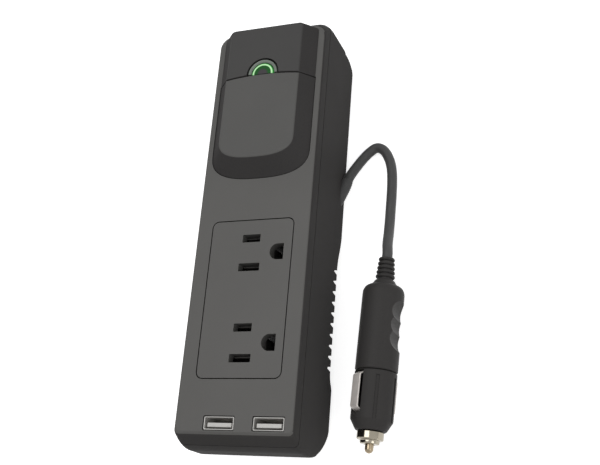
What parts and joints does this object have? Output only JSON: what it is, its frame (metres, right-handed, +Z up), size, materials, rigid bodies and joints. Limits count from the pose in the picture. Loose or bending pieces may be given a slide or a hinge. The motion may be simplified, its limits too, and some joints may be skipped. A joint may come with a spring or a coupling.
{
  "type": "power inverter",
  "caption": "Slim handheld DC to AC power inverter with grounded outlets, USB ports, a raised power button with a status light, a ribbed rear grip and a short lead with a 12 V plug.",
  "frame": {"origin": "middle of the housing's back, on the surface it lies on", "axes": "+X across the width, +Y along the length towards the raised cap, +Z up out of the front face"},
  "size_m": [0.0834, 0.193, 0.0503],
  "materials": {
    "front_plastic": "fine moulded texture, charcoal grey",
    "rear_plastic": "fine moulded texture, near black",
    "crown_plastic": "fine moulded texture, dark grey",
    "rim_grey": "satin grey",
    "green_lens": "clear green light pipe",
    "bright_steel": "plated sheet steel",
    "plated_nose": "bright plating",
    "brass": "plain brass",
    "pale_plastic": "white moulded plastic",
    "circuit_board": "green solder mask",
    "dark_plastic": "black moulded plastic",
    "ferrite": "matt grey ferrite",
    "winding_tape": "yellow winding tape",
    "aluminium": "bare extrusion",
    "capacitor_sleeve": "dark blue sleeve",
    "cord_rubber": "soft grey black jacket",
    "plug_plastic": "satin black",
    "fuse_glass": "clear glass tube with end caps"
  },
  "bodies": {
    "housing": {"front_cover": "front_plastic", "outlet_faceplate": "front_plastic", "rear_housing": "rear_plastic", "indicator_crown": "crown_plastic", "lens_bezel": "rim_grey", "indicator_lens": "green_lens", "status_led": "green_lens", "usb_shell_left": "bright_steel", "usb_shell_right": "bright_steel", "housing_screw_1": "bright_steel", "housing_screw_2": "bright_steel", "housing_screw_3": "bright_steel", "housing_screw_4": "bright_steel", "button_spring_left": "bright_steel", "button_spring_right": "bright_steel", "tip_spring": "bright_steel", "hot_contact_upper": "brass", "hot_contact_lower": "brass", "neutral_contact_upper": "brass", "neutral_contact_lower": "brass", "ground_contact_upper": "brass", "ground_contact_lower": "brass", "usb_tongue_left": "pale_plastic", "usb_tongue_right": "pale_plastic", "main_board": "circuit_board", "indicator_board": "circuit_board", "usb_board": "circuit_board", "outlet_board": "circuit_board", "push_switch": "dark_plastic", "power_transistor_1": "dark_plastic", "power_transistor_2": "dark_plastic", "power_transistor_3": "dark_plastic", "power_transistor_4": "dark_plastic", "fan_frame": "dark_plastic", "transformer_core": "ferrite", "transformer_winding": "winding_tape", "filter_choke": "winding_tape", "heat_sink_left": "aluminium", "heat_sink_right": "aluminium", "input_capacitor": "capacitor_sleeve", "output_capacitor": "capacitor_sleeve", "cord": "cord_rubber", "cord_gland": "cord_rubber", "plug_boot": "plug_plastic", "plug_handle": "plug_plastic", "plug_barrel": "plug_plastic"},
    "power_button": {"power_button": "front_plastic", "switch_plunger": "pale_plastic"},
    "fan_rotor": {"fan_rotor": "dark_plastic"},
    "ground_spring_upper": {"ground_spring_upper": "bright_steel"},
    "ground_spring_lower": {"ground_spring_lower": "bright_steel"},
    "plug_tip": {"tip_contact": "brass", "fuse": "fuse_glass"},
    "nose_ring": {"nose_ring": "plated_nose"}
  },
  "joints": [
    {"name": "button_press", "type": "slide", "parent": "housing", "child": "power_button", "axis": [0, 0, -1], "range_m": [0, 0.0012], "stiffness_N_per_m": 600, "springref_m": -0.001, "deforming": ["button_spring_left", "button_spring_right"]},
    {"name": "fan_spin", "type": "hinge", "parent": "housing", "child": "fan_rotor", "pos_m": [0, -0.0355, 0.0173], "axis": [0, 0, 1], "continuous": true},
    {"name": "upper_ground_spring_press", "type": "slide", "parent": "housing", "child": "ground_spring_upper", "axis": [0.6012, -0.0268, -0.7986], "range_m": [0, 0.0012], "stiffness_N_per_m": 1500, "springref_m": -0.0005},
    {"name": "lower_ground_spring_press", "type": "slide", "parent": "housing", "child": "ground_spring_lower", "axis": [-0.6012, 0.0268, 0.7986], "range_m": [0, 0.0012], "stiffness_N_per_m": 1500, "springref_m": -0.0005},
    {"name": "plug_tip_press", "type": "slide", "parent": "housing", "child": "plug_tip", "axis": [0.0445, 0.999, 0], "range_m": [0, 0.003], "stiffness_N_per_m": 700, "springref_m": -0.002, "deforming": ["tip_spring"]},
    {"name": "nose_ring_unscrew", "type": "hinge", "parent": "housing", "child": "nose_ring", "pos_m": [0.0457, -0.08582, 0.00941], "axis": [-0.0445, -0.999, 0], "range_deg": [0, 360]}
  ]
}
